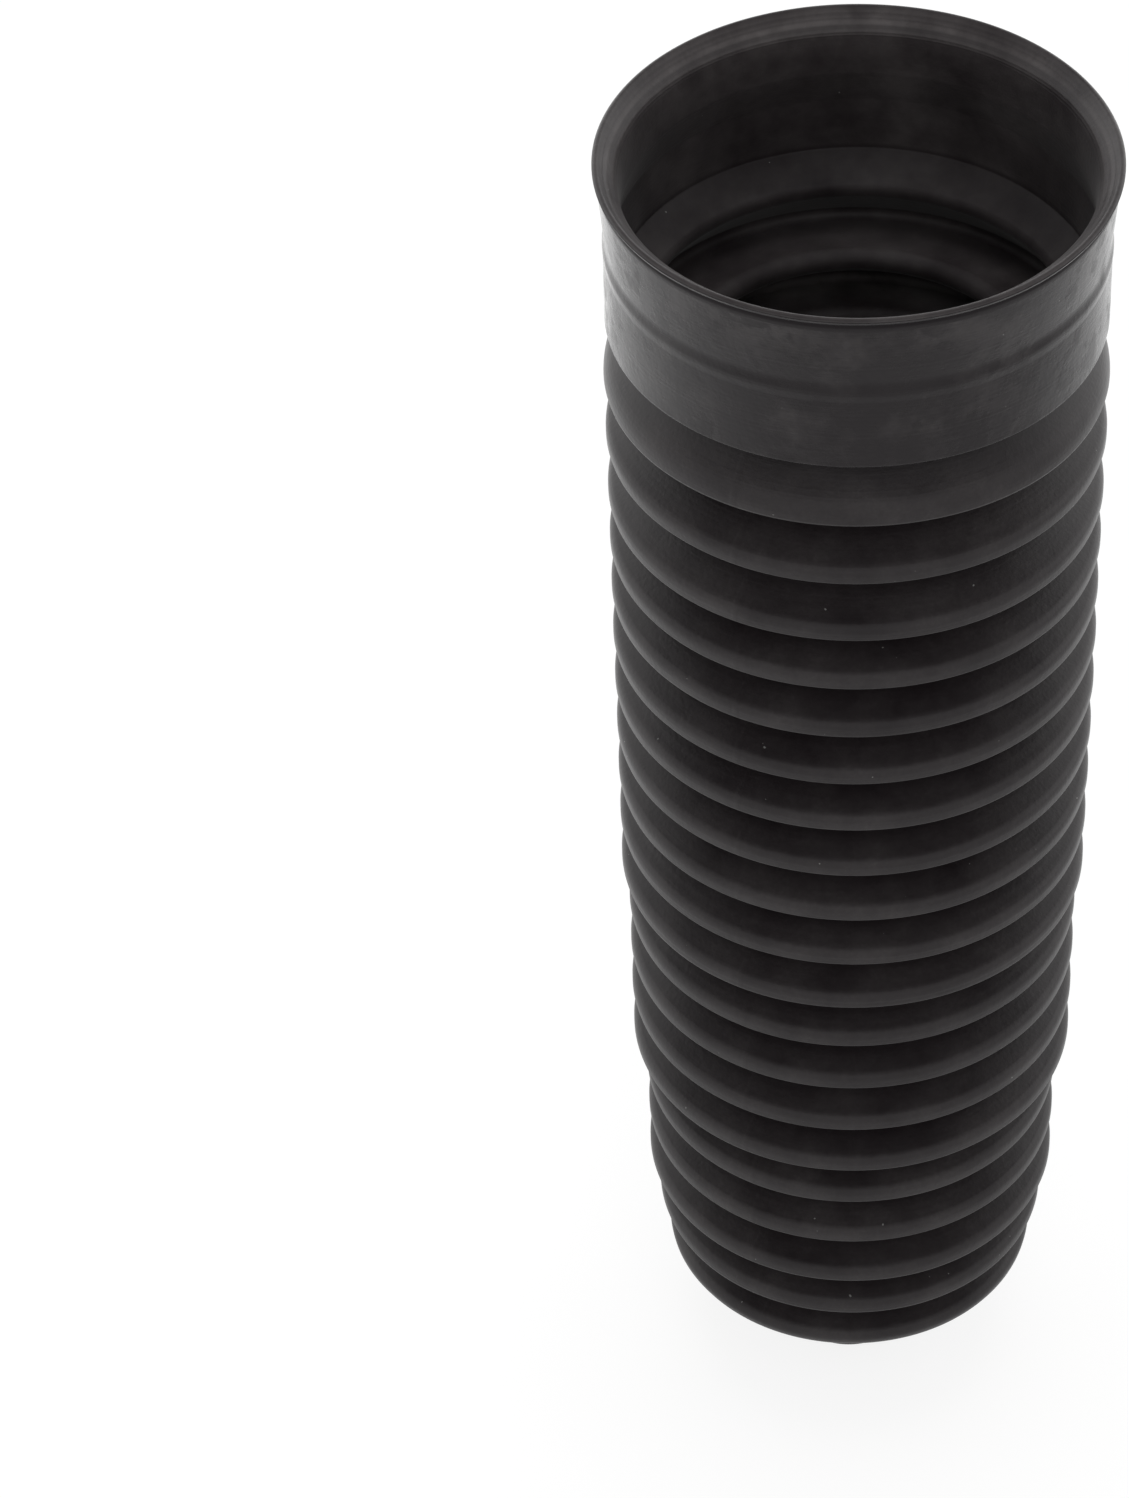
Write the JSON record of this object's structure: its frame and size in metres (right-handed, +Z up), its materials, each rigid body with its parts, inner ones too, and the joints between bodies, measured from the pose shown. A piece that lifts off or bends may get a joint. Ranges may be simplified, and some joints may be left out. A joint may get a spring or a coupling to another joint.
{
  "type": "bellows boot",
  "caption": "Black rubber bellows boot: a tall sleeve of stepped folds, with a wide clamped collar and open mouth on top and a small gripping cuff below.",
  "frame": {"origin": "centre of the flat ring on which the small cuff stands, on the boot's own axis", "axes": "+Z up along the boot's axis, from the small cuff to the wide mouth; the boot is round about Z, so X and Y are free"},
  "size_m": [0.0837, 0.0836, 0.266],
  "materials": {
    "rubber": "satin"
  },
  "bodies": {
    "root": {"boot": "rubber"}
  },
  "joints": []
}
